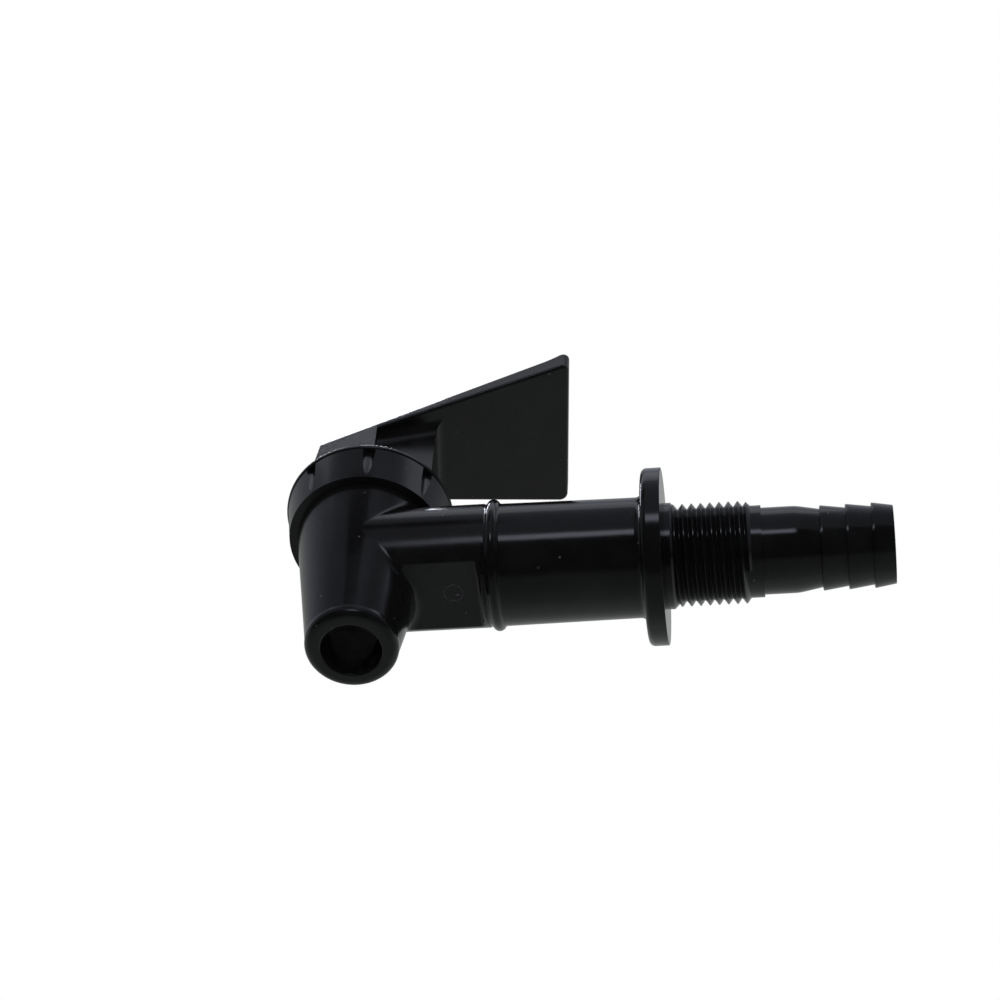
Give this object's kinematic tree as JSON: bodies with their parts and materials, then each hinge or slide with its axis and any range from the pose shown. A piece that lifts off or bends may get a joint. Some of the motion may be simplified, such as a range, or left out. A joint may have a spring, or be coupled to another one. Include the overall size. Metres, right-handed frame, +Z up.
{
  "type": "beverage dispenser faucet",
  "caption": "Self-closing plastic dispenser faucet: tapered spout body, flanged threaded shank with hose barbs, fluted bonnet and a swivelling wedge lever that lifts a sprung seat cup.",
  "frame": {"origin": "centre of the flange's rear seating face, on the shank's axis", "axes": "+X along the shank towards the hose end, +Z up along the stem, spout pointing down"},
  "size_m": [0.095, 0.0295, 0.0645],
  "materials": {
    "body_plastic": "black moulded plastic, semi-gloss",
    "shank_plastic": "black moulded plastic, glossy",
    "bonnet_plastic": "black moulded plastic, semi-gloss",
    "lever_plastic": "black moulded plastic, satin",
    "pin_steel": "plain stainless steel",
    "stem_plastic": "natural acetal",
    "spring_steel": "drawn stainless wire",
    "seat_rubber": "translucent grey silicone"
  },
  "bodies": {
    "faucet": {"faucet_body": "body_plastic", "shank": "shank_plastic", "bonnet": "bonnet_plastic", "seat_cup": "seat_rubber"},
    "coil": {"spring": "spring_steel"},
    "stem": {"stem": "stem_plastic", "lever_pin": "pin_steel"},
    "lever": {"lever": "lever_plastic"}
  },
  "joints": [
    {"name": "lever_swivel", "type": "hinge", "parent": "faucet", "child": "coil", "pos_m": [-0.04687, 0, 0], "axis": [0, 0, 1], "continuous": true},
    {"name": "stem_lift", "type": "slide", "parent": "coil", "child": "stem", "axis": [0, 0, 1], "range_m": [0, 0.00244], "deforming": ["spring", "seat_cup"]},
    {"name": "lever_tilt", "type": "hinge", "parent": "stem", "child": "lever", "pos_m": [-0.04687, 0, 0.02138], "axis": [-0.0941, 0.9956, 0], "range_deg": [0, 28], "stiffness_Nm_per_rad": 0.0225, "springref_deg": -91.67}
  ],
  "couplings": [
    {"joint": "lever_tilt", "follows": "stem_lift", "rad_per_m": 200}
  ]
}
